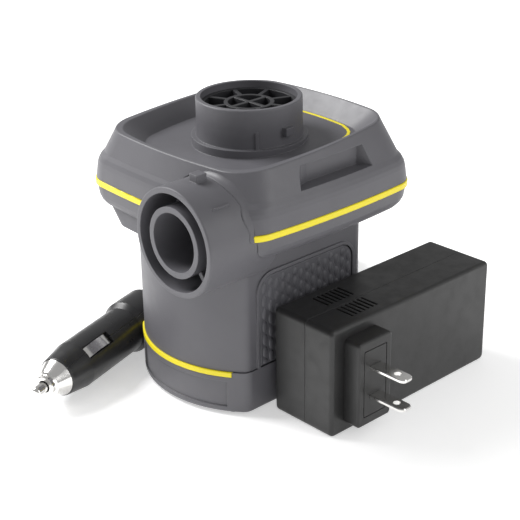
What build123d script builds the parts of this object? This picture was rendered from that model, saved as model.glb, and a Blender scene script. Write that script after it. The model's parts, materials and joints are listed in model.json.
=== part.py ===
from build123d import *
import math
import os

os.makedirs("parts", exist_ok=True)

# Electric air mattress pump with its 12 V cord and mains adapter, in millimetres.
# The origin is where the intake axis meets the surface the pump stands on.
# +Z is up, the outlet points to -Y and the adapter stands beside the pump at +X.

# ---------------------------------------------------------------- clearances
seam = 0.15  # between fixed casing pieces
run_gap = 0.5  # round a turning or sliding piece
shaft_gap = 0.02  # radial, shaft in bushing
thread_gap = 0.05  # radial, screw in its pilot hole

# ---------------------------------------------------------------- casing walls
wall = 2.2

# ---------------------------------------------------------------- head
head_half_x = 52.0
head_half_y = 49.0
head_crown = 2.6
head_corner = 13.0
shoulder_in = 0.8  # how much smaller the head is at the shoulder line
rim_half = 44.3
rim_crown = 4.0
rim_corner = 17.0
underside_half_x = 35.6
underside_half_y = 43.4
underside_shift = -3.3
z_underside = 69.0
z_belly = 77.5
z_band = 83.8
band_height = 2.5
z_shoulder = 95.6
z_rim = 109.8  # on the intake axis: the rim and the dish slope down to the outlet side
rim_tilt = 3.0
rim_rise = 3.6  # how far the head is drawn on above the rim before it is cut to the slope
z_dish = 102.9
dish_half = 36.0
dish_half_top = 43.8  # a little above the rim
dish_floor = 2.8
pocket_back = 43.2
pocket_floor = 98.0
pocket_top = 106.4

# ---------------------------------------------------------------- body and base
body_half = 33.0
body_back = 33.6
body_edge = 33.5  # where the side meets the bowed front
body_front = 46.6
body_edge_radius = 5.0
body_back_radius = 5.4
z_base_top = 19.7
z_base = 1.2
base_proud = 0.5
base_wall = 2.0
stripe_height = 2.1
stripe_depth = 1.3
stripe_end = 28.4
badge_half = 25.5
badge_shift = 1.0
badge_low = 4.0
badge_high = 15.4
badge_depth = 0.5
foot_radius = 4.0
foot_x = 24.0
foot_front = 33.0
foot_back = 28.0

# ---------------------------------------------------------------- grip pads
grip_front = 27.0
grip_back = 26.0
grip_high = 59.5
grip_depth = 1.5
grip_proud = 0.5
grip_corner = 7.0
grip_lip = 1.4
grip_lip_proud = 0.8

# ---------------------------------------------------------------- intake port
port_radius = 21.6
port_wall = 2.0
port_draft = 0.4  # how much wider the ports get from their seats to their roots
port_flange_radius = 23.8
port_flange_height = 2.2
z_port_top = 120.9
grille_drop = 2.8
grille_height = 3.0
grille_ring = 9.4
grille_bar = 1.6
eye_radius = 16.0
lug_width = 4.2
lug_reach = 2.2
lug_height = 3.2
z_lug = 109.2
port_rib_angle = -35.0
port_rib_height = 9.0
spoke_count = 8

# ---------------------------------------------------------------- outlet
outlet_x = 26.1
z_outlet = 83.2
outlet_face = 63.2
outlet_radius = 21.6
outlet_wall = 2.3
nozzle_radius = 14.0
nozzle_bore = 11.65
nozzle_set_back = 0.4
outlet_pocket = 17.0
outlet_root = 30.0
outlet_top_root = 41.5
outlet_lug_back = 12.6
outlet_seat = 6.8  # smooth length of the tube ahead of its rib
spout_wall = 1.2
spout_front = 38.5
spout_root = 20.0

# ---------------------------------------------------------------- fan
volute_radius = 41.0
volute_wall = 1.8
z_volute = 79.0
volute_floor = 1.6
impeller_radius = volute_radius - 5.0
impeller_gap = 2.4  # from the volute floor to the back plate
plate = 1.4
blade_height = 9.6
blade_count = 9
blade_thick = 1.3
hub_radius = 5.5
impeller_eye = 16.5

# ---------------------------------------------------------------- motor
motor_radius = 17.9
motor_can_wall = 1.2
motor_length = 53.0
motor_boss_radius = 6.5
motor_boss_height = 2.6
bell_height = 5.5
shaft_radius = 1.6
bushing_radius = 4.0
bushing_length = 5.0
magnet_thick = 3.1
magnet_arc = 120.0
armature_gap = 0.8
armature_length = 26.0
winding_radius = 10.6
winding_length = 5.0
commutator_radius = 5.2
commutator_length = 9.0
brush_side = 3.6
motor_screw_circle = 25.0

# ---------------------------------------------------------------- screws
screw_radius = 1.4
screw_head_radius = 2.8
screw_head_height = 2.0
boss_radius = 3.8
head_boss_x = 39.5
head_boss_y = 36.0
post_radius = 3.3
post_length = 20.0

# ---------------------------------------------------------------- switch on the back
switch_z = 48.0
switch_width = 14.0
switch_height = 20.0
switch_flange = 1.6
switch_flange_thick = 1.5
switch_depth = 9.0
terminal_length = 3.6
rocker_pin_radius = 1.2
rocker_pin_back = 2.0  # behind the back wall's face

# ---------------------------------------------------------------- cord
cord_diameter = 4.6
gland_x = 0.0
gland_z = 10.5
gland_flange_radius = 6.0
gland_neck_radius = 4.4
gland_tail = 16.0
gland_tail_radius = 3.4
coil_x = -50.0
coil_y = 69.0
coil_mid = 27.5
coil_across = 3
coil_layers = 4
tie_width = 9.0
tie_thick = 1.0
tie_slack = 0.6

# ---------------------------------------------------------------- plug
plug_tip_x = -25.0
plug_tip_y = -97.0
plug_heading = 108.0  # degrees from +X to the way the cord leaves
plug_roll = 47.0  # how far the split line and contacts are turned up from level
plug_axis_z = 12.1
pin_radius = 2.2
pin_travel = 3.0
pin_reach = 6.4
pin_length = 15.0
pin_flange = 1.5
nose_tip_radius = 4.4
nose_radius = 8.0
nose_length = 8.4
plug_radius = 10.4
plug_cone_length = 12.0
plug_body_length = 36.0
plug_grip_radius = 12.0
plug_grip_length = 25.0
plug_wall = 1.8
contact_length = 16.0
contact_width = 4.6
plug_relief_length = 26.0
plug_relief_radius = 5.2

# ---------------------------------------------------------------- adapter
adapter_near = 36.9
adapter_split = 54.2
adapter_far = 68.9
adapter_front = -22.5
adapter_back = 72.9
adapter_height = 46.7
adapter_wall = 2.2
adapter_round = 2.4
vent_width = 1.1
vent_pitch = 2.35
vent_count = 7
vent_start = -6.0
vent_length = 9.2
vent_drop = 0.9
base_reach = 7.7
blade_base_front = -15.6
blade_base_back = 3.3
blade_base_low = 4.7
blade_base_high = 41.6
mains_blade_width = 6.35
mains_blade_thick = 1.5
mains_blade_reach = 17.1
mains_blade_pitch = 12.7
mains_blade_z = 23.5
socket_bore = 10.7
socket_wall = 1.5
socket_depth = 34.0
socket_throat = 29.4  # from the adapter's end to the narrower bottom
socket_throat_radius = 9.2


# ---------------------------------------------------------------- shared shapes
def crowned(half_x, half_y, crown, corner):
    """A rectangle with bowed sides and round corners, about the origin."""
    edge_x = half_x - crown
    edge_y = half_y - crown
    with BuildSketch(mode=Mode.PRIVATE) as outline:
        with BuildLine():
            ThreePointArc((-edge_x, -edge_y), (0, -half_y), (edge_x, -edge_y))
            ThreePointArc((edge_x, -edge_y), (half_x, 0), (edge_x, edge_y))
            ThreePointArc((edge_x, edge_y), (0, half_y), (-edge_x, edge_y))
            ThreePointArc((-edge_x, edge_y), (-half_x, 0), (-edge_x, -edge_y))
        make_face()
        fillet(outline.vertices(), corner)
    return outline.sketch


def body_outline(inset):
    """The body's plan: bowed front, straight sides and back."""
    half = body_half - inset
    edge = body_edge - inset * 0.7
    back = body_back - inset
    with BuildSketch(mode=Mode.PRIVATE) as outline:
        with BuildLine():
            ThreePointArc((-half, -edge), (0, inset - body_front), (half, -edge))
            Line((half, -edge), (half, back))
            Line((half, back), (-half, back))
            Line((-half, back), (-half, -edge))
        make_face()
        fillet(outline.vertices().group_by(Axis.Y)[-1], body_back_radius - inset)
        fillet(outline.vertices().group_by(Axis.Y)[0], body_edge_radius - inset)
    return outline.sketch


def stacked(levels):
    """A ruled loft through outlines, each given with its height and shift in Y."""
    with BuildPart(mode=Mode.PRIVATE) as solid:
        for height, outline, shift in levels:
            with BuildSketch(Plane.XY.offset(height)):
                with Locations((0, shift)):
                    add(outline)
        loft(ruled=True)
    return solid.part


def rod(radius, low, high, centres):
    """Upright round bars from one height to another."""
    with BuildPart(mode=Mode.PRIVATE) as solid:
        with BuildSketch(Plane.XY.offset(low)):
            with Locations(*centres):
                Circle(radius)
        extrude(amount=high - low)
    return solid.part


def outlet_bar(radius, front, back):
    """A bar on the outlet's axis between two distances in front of the origin."""
    with BuildPart(mode=Mode.PRIVATE) as solid:
        with BuildSketch(Plane.XZ.offset(front)):
            with Locations((outlet_x, z_outlet)):
                Circle(radius)
        extrude(amount=back - front)
    return solid.part


def block(low, high):
    """A box between two corners."""
    middle = [(a + b) / 2 for a, b in zip(low, high)]
    size = [b - a for a, b in zip(low, high)]
    return Pos(*middle) * Box(*size, mode=Mode.PRIVATE)


def write(builder, name):
    """Label a finished piece and export it under its own name."""
    builder.part.label = name
    export_step(builder.part, f"parts/{name}.step")


# ---------------------------------------------------------------- derived heights
z_band_top = z_band + band_height
z_cover = z_band_top + seam
z_bowl = z_band - seam
z_body = z_base_top + seam
z_chamber = z_dish - dish_floor
z_impeller = z_volute + volute_floor + impeller_gap
z_motor = z_volute - motor_length
z_stripe = z_base_top - stripe_height
spout_bore = nozzle_radius + 0.25
duct_hole = outlet_bar(outlet_radius + port_draft + seam, outlet_face + 10, outlet_root - seam)
duct_notch = block(
    (outlet_x - 30, -outlet_top_root + seam, z_chamber - seam), (outlet_x + 30, -10, z_rim)
)
with BuildPart() as duct_room:
    add(duct_hole)
    add(duct_notch, mode=Mode.SUBTRACT)
head_screws_at = [
    (-head_boss_x, -head_boss_y),
    (-head_boss_x, head_boss_y),
    (head_boss_x, head_boss_y),
]
post_circle = volute_radius - 5.1  # keeps the heads off the volute's wall
post_x = body_half - wall - 2.4  # each post runs into the body's side wall
post_y = math.sqrt(post_circle**2 - post_x**2)
posts_at = [(-post_x, -post_y), (-post_x, post_y), (post_x, post_y)]
base_screws_at = [(sx * 28.0, y) for sx in (-1, 1) for y in (-24.0, 20.0)]

# ================================================================ lower housing
bowl_top = crowned(head_half_x - 0.2, head_half_y - 0.2, head_crown, head_corner)
bowl_foot = crowned(underside_half_x, underside_half_y, 1.5, 8.0)
belly_in = crowned(head_half_x - 1.2 - wall, head_half_y - 1.2 - wall, head_crown, head_corner - wall)
bowl_top_in = crowned(head_half_x - 0.2 - wall, head_half_y - 0.2 - wall, head_crown, head_corner - wall)
bowl_foot_in = crowned(underside_half_x - 3.4, underside_half_y - 3.4, 1.5, 6.0)
belly_turn = [(-2.6, 4.2), (-1.5, 2.5), (0.0, 1.35), (1.8, 0.7)]  # (rise, inset) round the belly
bowl = stacked(
    [(z_underside, bowl_foot, underside_shift)]
    + [
        (
            z_belly + rise,
            crowned(head_half_x - inset, head_half_y - inset, head_crown, head_corner),
            underside_shift * inset / 16,
        )
        for rise, inset in belly_turn
    ]
    + [(z_bowl, bowl_top, 0)]
)
bowl_in = stacked(
    [
        (z_underside, bowl_foot_in, underside_shift),
        (z_belly + 0.6, belly_in, 0),
        (z_bowl, bowl_top_in, 0),
    ]
)


def pad_outline(margin):
    """A grip pad's outline in Y and Z, grown by a margin: round above, square at the base seam."""
    with BuildSketch(mode=Mode.PRIVATE) as outline:
        with Locations(((grip_back - grip_front) / 2, (z_body + seam + grip_high) / 2)):
            Rectangle(
                grip_front + grip_back + 2 * margin, grip_high - z_body - seam + 2 * margin
            )
        with Locations((0, z_body - 5)):
            Rectangle(4 * grip_front, 10, mode=Mode.SUBTRACT)
        fillet(outline.vertices().group_by(Axis.Y)[-1], grip_corner + margin)
    return outline.sketch


body_plan = body_outline(0)
body_plan_in = body_outline(wall)
with BuildPart() as lower_housing:
    add(bowl)
    with BuildSketch(Plane.XY.offset(z_body)):
        add(body_plan)
    extrude(amount=z_underside + 3 - z_body)
    # raised frames round the two grip pads
    for side in (Plane.YZ.offset(body_half - 1), Plane.YZ.offset(-body_half + 1)):
        outward = side.origin.X / abs(side.origin.X)
        with BuildSketch(side):
            add(pad_outline(grip_lip))
        extrude(amount=outward * (1 + grip_lip_proud))
        with BuildSketch(side):
            add(pad_outline(0))
        extrude(amount=outward * 3, mode=Mode.SUBTRACT)
    add(bowl_in, mode=Mode.SUBTRACT)
    with BuildSketch(Plane.XY.offset(z_body)):
        add(body_plan_in)
    extrude(amount=z_underside + 6 - z_body, mode=Mode.SUBTRACT)
    # floors behind the grip pads
    for sx in (-1, 1):
        near = sx * (body_half - 1)
        far = sx * (body_half - 1 - wall)
        add(
            block(
                (min(near, far), -grip_front - 1, z_body),
                (max(near, far), grip_back + 1, grip_high + 1),
            )
        )
    # posts that carry the volute, and bosses for the head screws
    add(rod(post_radius, z_volute - post_length, z_volute, posts_at))
    add(rod(boss_radius, z_belly - 4, z_bowl, head_screws_at))
    add(rod(screw_radius + thread_gap, z_volute - 14, z_volute + 1, posts_at), mode=Mode.SUBTRACT)
    add(rod(screw_radius + 0.3, z_underside, z_bowl + 1, head_screws_at), mode=Mode.SUBTRACT)
    add(
        rod(screw_head_radius + 0.3, z_underside, z_belly + 0.5, head_screws_at),
        mode=Mode.SUBTRACT,
    )
    # bosses for the base screws
    add(rod(boss_radius, z_body, z_body + 14, base_screws_at))
    add(rod(screw_radius + thread_gap, z_body - 1, z_body + 12, base_screws_at), mode=Mode.SUBTRACT)
    # switch opening in the back wall
    add(
        block(
            (-switch_width / 2, body_back - 2 * wall, switch_z - switch_height / 2),
            (switch_width / 2, body_back + 1, switch_z + switch_height / 2),
        ),
        mode=Mode.SUBTRACT,
    )
    add(duct_room.part, mode=Mode.SUBTRACT)
    add(
        outlet_bar(spout_bore + spout_wall + seam, spout_front + 1, spout_root - seam),
        mode=Mode.SUBTRACT,
    )
write(lower_housing, "lower_housing")

# ================================================================ top cover
skirt_line = crowned(head_half_x, head_half_y, head_crown, head_corner)
rim_slope = (head_half_x - 2.35 - rim_half) / (z_rim - z_shoulder - 2.0)
rim_line = crowned(
    rim_half - rim_slope * rim_rise, rim_half + 0.6 - rim_slope * rim_rise, rim_crown, rim_corner
)
skirt_in = crowned(head_half_x - wall, head_half_y - wall, head_crown, head_corner - wall)
shoulder_inner = crowned(
    head_half_x - shoulder_in - wall, head_half_y - shoulder_in - wall, head_crown, head_corner - wall
)
dish_foot = crowned(dish_half, dish_half, rim_crown, rim_corner - 4)
dish_mouth = crowned(dish_half_top, dish_half_top + 0.6, rim_crown, rim_corner - 2)
lid_in = crowned(rim_half + 1.4, rim_half + 0.4, rim_crown, rim_corner - 2)
shoulder_turn = [(-3.4, 0.45), (-1.6, 0.75), (0.2, 1.35), (2.0, 2.35)]  # (rise, inset)
cover_solid = stacked(
    [(z_cover, skirt_line, 0)]
    + [
        (
            z_shoulder + rise,
            crowned(head_half_x - inset, head_half_y - inset, head_crown, head_corner + inset),
            0,
        )
        for rise, inset in shoulder_turn
    ]
    + [(z_rim + rim_rise, rim_line, 0)]
)
rim_plane = Plane(
    origin=(0, 0, z_rim),
    x_dir=(1, 0, 0),
    z_dir=(0, -math.sin(math.radians(rim_tilt)), math.cos(math.radians(rim_tilt))),
)
with BuildPart() as above_rim:
    with BuildSketch(rim_plane):
        Rectangle(3 * head_half_x, 3 * head_half_y)
    extrude(amount=20)
cover_hollow = stacked(
    [(z_cover, skirt_in, 0), (z_shoulder - 0.8, shoulder_inner, 0), (z_chamber, lid_in, 0)]
)
dish = stacked([(z_dish, dish_foot, 0), (z_rim + 1.5, dish_mouth, 0)]).rotate(
    Axis((0, 0, z_rim), (1, 0, 0)), rim_tilt
)
pocket_plan = [
    (pocket_back, -10.5), (pocket_back, 17.0), (50.5, 21.5), (54.0, 21.5), (54.0, -20.0),
    (50.0, -19.6), (46.6, -17.6), (44.4, -14.6),
]
liner_plan = [
    (volute_radius + seam, -19.5), (volute_radius + seam, 19.5), (47.0, 23.8),
    (head_half_x - wall, 23.8), (head_half_x - wall, -22.4),
]
with BuildPart() as top_cover:
    add(cover_solid)
    add(above_rim.part, mode=Mode.SUBTRACT)
    add(dish, mode=Mode.SUBTRACT)
    up_rim = Axis(rim_plane.origin, rim_plane.z_dir)
    fillet(top_cover.faces().sort_by(up_rim)[-1].inner_wires()[0].edges(), 0.8)
    fillet(top_cover.faces().filter_by(GeomType.PLANE).sort_by(up_rim)[-1].outer_wire().edges(), 0.6)
    add(cover_hollow, mode=Mode.SUBTRACT)
    # shallow side pockets in the shoulder, with their own backs and floors
    for sx in (-1, 1):
        with BuildPart(mode=Mode.PRIVATE) as liner:
            with BuildSketch(Plane.XY.offset(pocket_floor - wall)):
                with BuildLine():
                    Polyline(*[(sx * x, y) for x, y in liner_plan], close=True)
                make_face()
            extrude(amount=z_chamber + 1 - pocket_floor + wall)
        add(liner.part & cover_solid)
        with BuildSketch(Plane.XY.offset(pocket_floor)):
            with BuildLine():
                Polyline(*[(sx * x, y) for x, y in pocket_plan], close=True)
            make_face()
        extrude(amount=pocket_top - pocket_floor, mode=Mode.SUBTRACT)
    # bosses for the head screws
    add(rod(boss_radius, z_bowl + seam, z_chamber + 1, head_screws_at) & cover_solid)
    # intake port with its foot flange, bell mouth and outside rib
    add(rod(port_flange_radius, z_chamber, z_dish + port_flange_height, [(0, 0)]))
    with BuildSketch(Plane.XY.offset(z_chamber)):
        Circle(port_radius + port_draft)
    with BuildSketch(Plane.XY.offset(z_lug + lug_height)):
        Circle(port_radius)
    loft(ruled=True)
    add(rod(port_radius, z_lug + lug_height, z_port_top, [(0, 0)]))
    fillet(top_cover.edges().group_by(Axis.Z)[-1], 0.6)
    add(
        rod(port_radius - port_wall, z_dish + 2, z_port_top + 1, [(0, 0)]),
        mode=Mode.SUBTRACT,
    )
    add(rod(eye_radius, z_chamber - 1, z_dish + 3, [(0, 0)]), mode=Mode.SUBTRACT)
    for angle in (0, 180):
        with BuildSketch(Plane.XY.offset(z_lug)):
            with PolarLocations(port_radius + lug_reach / 2 - 0.5, 1, start_angle=angle):
                Rectangle(lug_reach + 1, lug_width)
        extrude(amount=lug_height)
    with BuildSketch(Plane.XY.offset(z_dish)):
        with PolarLocations(port_radius, 1, start_angle=port_rib_angle):
            Rectangle(1.6, 1.2)
    extrude(amount=port_rib_height)
    add(
        rod(screw_radius + thread_gap, z_bowl, z_shoulder - 1, head_screws_at),
        mode=Mode.SUBTRACT,
    )
    add(duct_room.part, mode=Mode.SUBTRACT)
write(top_cover, "top_cover")

# ================================================================ trim band
band_out = crowned(head_half_x + 0.3, head_half_y + 0.3, head_crown, head_corner)
band_in = crowned(head_half_x - 1.6, head_half_y - 1.6, head_crown, head_corner - 1.6)
with BuildPart() as trim_band:
    with BuildSketch(Plane.XY.offset(z_band)):
        add(band_out)
        add(band_in, mode=Mode.SUBTRACT)
    extrude(amount=band_height)
    fillet(trim_band.faces().sort_by(Axis.Z)[-1].outer_wire().edges(), 0.5)
    add(duct_room.part, mode=Mode.SUBTRACT)
write(trim_band, "trim_band")

# ================================================================ outlet duct
with BuildPart() as outlet_duct:
    add(outlet_bar(outlet_radius, outlet_face, outlet_face - outlet_seat))
    fillet(outlet_duct.faces().sort_by(Axis.Y)[0].edges(), 0.6)
    with BuildSketch(Plane.XZ.offset(outlet_face - outlet_seat)):
        with Locations((outlet_x, z_outlet)):
            Circle(outlet_radius)
    with BuildSketch(Plane.XZ.offset(outlet_root)):
        with Locations((outlet_x, z_outlet)):
            Circle(outlet_radius + port_draft)
    loft(ruled=True)
    add(
        outlet_bar(
            outlet_radius - outlet_wall, outlet_face + 1, outlet_face - outlet_pocket
        ),
        mode=Mode.SUBTRACT,
    )
    add(
        outlet_bar(
            outlet_radius - outlet_wall, outlet_face - outlet_pocket - wall, outlet_root - 1
        ),
        mode=Mode.SUBTRACT,
    )
    add(outlet_bar(nozzle_radius, outlet_face - nozzle_set_back, outlet_root + 6))
    add(outlet_bar(nozzle_bore, outlet_face + 1, outlet_root - 1), mode=Mode.SUBTRACT)
    # stiffening web in the ring gap
    with BuildSketch(Plane.XZ.offset(outlet_face - 5)):
        with Locations((outlet_x, z_outlet)):
            with PolarLocations((nozzle_radius + outlet_radius - 1) / 2, 1, start_angle=-50):
                Rectangle(outlet_radius - nozzle_radius - 1, 2.0)
    extrude(amount=-(outlet_pocket - 4))
    # locking lug and the thin rib beside it
    with BuildSketch(Plane.XZ.offset(outlet_face - outlet_lug_back + 2.4)):
        with Locations((outlet_x, z_outlet)):
            with PolarLocations(outlet_radius + lug_reach / 2, 1, start_angle=88):
                Rectangle(lug_reach + 1.6, lug_width)
    extrude(amount=-4.8)
    with BuildSketch(Plane.XZ.offset(outlet_face - 7)):
        with Locations((outlet_x, z_outlet)):
            with PolarLocations(outlet_radius, 1, start_angle=46):
                Rectangle(1.2, 0.8)
    extrude(amount=-8)
    add(
        block(
            (outlet_x - 30, -outlet_top_root, z_chamber - seam),
            (outlet_x + 30, -10, z_rim),
        ),
        mode=Mode.SUBTRACT,
    )
    # the root is scooped out round the volute
    add(
        rod(volute_radius + seam, z_volute - seam, z_rim, [(0, 0)]),
        mode=Mode.SUBTRACT,
    )
write(outlet_duct, "outlet_duct")

# ================================================================ intake grille
grille_radius = port_radius - port_wall - seam
z_grille = z_port_top - grille_drop - grille_height
with BuildPart() as intake_grille:
    with BuildSketch(Plane.XY.offset(z_grille)) as grille_plan:
        Circle(grille_radius)
        Circle(grille_radius - grille_bar, mode=Mode.SUBTRACT)
        Circle(grille_ring + grille_bar / 2)
        Circle(grille_ring - grille_bar / 2, mode=Mode.SUBTRACT)
        spoke = grille_radius - grille_ring - grille_bar / 2
        with PolarLocations(grille_ring + spoke / 2, spoke_count, start_angle=22.5):
            Rectangle(spoke + 0.6, grille_bar)
        for angle in (0, 90):
            Rectangle(2 * grille_ring, grille_bar, rotation=angle)
    extrude(amount=grille_height)
write(intake_grille, "intake_grille")

# ================================================================ grip pads
for name, sx in (("grip_pad_right", 1), ("grip_pad_left", -1)):
    with BuildPart() as grip_pad:
        with BuildSketch(Plane.YZ.offset(sx * (body_half - 1 + 0.05))):
            add(pad_outline(-0.4))
        extrude(amount=sx * (1 + grip_proud))
        fillet(grip_pad.faces().sort_by(Axis.X)[-1 if sx > 0 else 0].edges(), 0.4)
    write(grip_pad, name)

# ================================================================ base
base_plan = body_outline(-base_proud)
badge_plan_in = body_outline(badge_depth - base_proud)
stripe_plan_in = body_outline(stripe_depth - base_proud)
base_inside = body_outline(base_wall - base_proud)
with BuildPart() as badge_cut:
    with BuildSketch(Plane.XY.offset(badge_low)):
        add(base_plan)
        add(badge_plan_in, mode=Mode.SUBTRACT)
        with Locations((badge_shift, -body_front)):
            Rectangle(2 * badge_half, 30, mode=Mode.INTERSECT)
    extrude(amount=badge_high - badge_low)
stripe_room = block(
    (-body_half - 3, -body_front - 3, z_stripe - seam), (stripe_end, -body_edge + 6, z_base_top + 1)
)
with BuildPart() as base_skirt:
    with BuildSketch(Plane.XY.offset(z_base)):
        add(base_plan)
    extrude(amount=z_base_top - z_base)
    fillet(base_skirt.edges().group_by(Axis.Z)[0], 1.6)
    with BuildSketch(Plane.XY.offset(z_base + base_wall)):
        add(base_inside)
    extrude(amount=z_base_top - z_base, mode=Mode.SUBTRACT)
    add(badge_cut.part, mode=Mode.SUBTRACT)
    # rebate for the stripe
    with BuildSketch(Plane.XY.offset(z_stripe - seam)):
        add(base_plan)
        add(body_outline(stripe_depth + seam - base_proud), mode=Mode.SUBTRACT)
        with Locations(((stripe_end - body_half - 2) / 2, -body_front)):
            Rectangle(stripe_end + body_half + 2, 2 * (body_front - body_edge + 6), mode=Mode.INTERSECT)
    extrude(amount=stripe_height + 1, mode=Mode.SUBTRACT)
    add(rod(boss_radius, z_base + 0.5, z_body - seam, base_screws_at))
    add(rod(screw_radius + 0.3, z_base - 1, z_body + 1, base_screws_at), mode=Mode.SUBTRACT)
    add(rod(screw_head_radius + 0.3, z_base - 1, z_base + 4, base_screws_at), mode=Mode.SUBTRACT)
    # opening for the cord gland in the back wall
    with BuildSketch(Plane.XZ.offset(-body_back - 2)):
        with Locations((gland_x, gland_z)):
            Circle(gland_neck_radius)
    extrude(amount=8, mode=Mode.SUBTRACT)
write(base_skirt, "base_skirt")

with BuildPart() as base_stripe:
    with BuildSketch(Plane.XY.offset(z_stripe)):
        add(body_outline(-base_proud - 0.15))
        add(stripe_plan_in, mode=Mode.SUBTRACT)
        with Locations(((stripe_end - body_half - 2) / 2, -body_front)):
            Rectangle(
                stripe_end + body_half + 2 - 2 * seam,
                2 * (body_front - body_edge + 6) - 2 * seam,
                mode=Mode.INTERSECT,
            )
    extrude(amount=stripe_height)
write(base_stripe, "base_stripe")

feet_at = [(sx * foot_x, y) for sx in (-1, 1) for y in (-foot_front, foot_back)]
with BuildPart() as feet:
    add(rod(foot_radius, 0, z_base, feet_at))
    fillet(feet.edges().group_by(Axis.Z)[0], 0.4)
write(feet, "feet")

# ================================================================ screws
def screw(name, heads_at, z_head, direction, length):
    """Pan-head screws in one node; direction +1 has the shank pointing up."""
    with BuildPart() as screws:
        with BuildSketch(Plane.XY.offset(z_head)):
            with Locations(*heads_at):
                Circle(screw_head_radius)
        extrude(amount=direction * screw_head_height)
        ends = screws.faces().filter_by_position(Axis.Z, z_head - 0.01, z_head + 0.01)
        fillet(ends.edges(), 0.5)
        with BuildSketch(Plane.XY.offset(z_head + direction * screw_head_height)):
            with Locations(*heads_at):
                Circle(screw_radius)
        extrude(amount=direction * length)
        with BuildSketch(Plane.XY.offset(z_head - direction * 0.01)):
            with Locations(*heads_at):
                Rectangle(3.2, 0.7)
                Rectangle(0.7, 3.2)
        extrude(amount=direction * 1.2, mode=Mode.SUBTRACT)
    write(screws, name)


screw("head_screws", head_screws_at, z_belly + 0.5 - screw_head_height, 1, 14.5)
screw("base_screws", base_screws_at, z_base + 4 - screw_head_height, 1, 25.0)
screw("volute_screws", posts_at, z_volute + volute_floor + screw_head_height, -1, 12.0)
motor_screws_at = [(-motor_screw_circle / 2, 0), (motor_screw_circle / 2, 0)]
screw("motor_screws", motor_screws_at, z_volute + volute_floor + screw_head_height, -1, 3.0)

# ================================================================ volute
with BuildPart() as volute:
    add(rod(volute_radius, z_volute, z_chamber - seam, [(0, 0)]))
    add(outlet_bar(spout_bore + spout_wall, spout_front, spout_root))
    add(outlet_bar(spout_bore, spout_front + 1, spout_root - 1), mode=Mode.SUBTRACT)
    add(rod(volute_radius, z_volute, z_volute + volute_floor, [(0, 0)]))
    add(
        rod(volute_radius - volute_wall, z_volute + volute_floor, z_chamber + 1, [(0, 0)]),
        mode=Mode.SUBTRACT,
    )
    add(outlet_bar(nozzle_bore + 0.3, volute_radius + 4, spout_root - 2), mode=Mode.SUBTRACT)
    add(rod(motor_boss_radius + 0.3, z_volute - 1, z_volute + 3, [(0, 0)]), mode=Mode.SUBTRACT)
    add(rod(screw_radius + 0.3, z_volute - 1, z_volute + 3, posts_at + motor_screws_at), mode=Mode.SUBTRACT)
write(volute, "volute")

# ================================================================ rotor
z_blades = z_impeller + plate
z_shroud = z_blades + blade_height
with BuildSketch() as blade_plan:
    with BuildLine():
        ThreePointArc(
            (impeller_eye - 4, 0), (25.5, -5.2), (impeller_radius - 0.8, -3.4)
        )
    trace(line_width=blade_thick)
with BuildPart() as impeller:
    add(rod(impeller_radius, z_impeller, z_blades, [(0, 0)]))
    with BuildSketch(Plane.XY.offset(z_shroud)):
        Circle(impeller_radius)
        Circle(impeller_eye, mode=Mode.SUBTRACT)
    extrude(amount=plate)
    with BuildSketch(Plane.XY.offset(z_blades)):
        for index in range(blade_count):
            add(blade_plan.sketch.rotate(Axis.Z, index * 360 / blade_count))
    extrude(amount=blade_height)
    add(rod(hub_radius, z_impeller, z_shroud + plate, [(0, 0)]))
    fillet(impeller.faces().sort_by(Axis.Z)[-1].edges().sort_by(SortBy.LENGTH)[0:1], 0.3)
    add(rod(shaft_radius, z_impeller - 1, z_shroud + 4, [(0, 0)]), mode=Mode.SUBTRACT)
write(impeller, "impeller")

z_collar = z_shroud + plate
with BuildPart() as impeller_clip:
    with BuildSketch(Plane.XY.offset(z_collar)):
        Circle(3.6)
        Circle(shaft_radius, mode=Mode.SUBTRACT)
    extrude(amount=1.4)
write(impeller_clip, "impeller_clip")

z_bell = z_motor - bell_height
z_shaft_low = z_bell + 0.8
with BuildPart() as motor_shaft:
    add(rod(shaft_radius, z_shaft_low, z_collar + 2.2, [(0, 0)]))
    chamfer(motor_shaft.edges(), 0.3)
write(motor_shaft, "motor_shaft")

armature_radius = motor_radius - motor_can_wall - magnet_thick - armature_gap
z_armature = z_motor + 15.0
slot_count = 5
with BuildPart() as armature:
    with BuildSketch(Plane.XY.offset(z_armature)):
        Circle(armature_radius)
        with PolarLocations(armature_radius - 2.2, slot_count):
            Rectangle(5.0, 1.6, mode=Mode.SUBTRACT)
    extrude(amount=armature_length)
    add(rod(winding_radius, z_armature - winding_length, z_armature, [(0, 0)]))
    z_coil_top = z_armature + armature_length
    add(rod(winding_radius, z_coil_top, z_coil_top + winding_length, [(0, 0)]))
    add(rod(shaft_radius, z_armature - 20, z_coil_top + 20, [(0, 0)]), mode=Mode.SUBTRACT)
write(armature, "armature")

z_commutator = z_armature - winding_length - commutator_length
with BuildPart() as commutator:
    with BuildSketch(Plane.XY.offset(z_commutator)):
        Circle(commutator_radius)
        Circle(shaft_radius, mode=Mode.SUBTRACT)
        with PolarLocations(commutator_radius, slot_count):
            Rectangle(1.2, 0.5, mode=Mode.SUBTRACT)
    extrude(amount=commutator_length)
write(commutator, "commutator")

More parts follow.
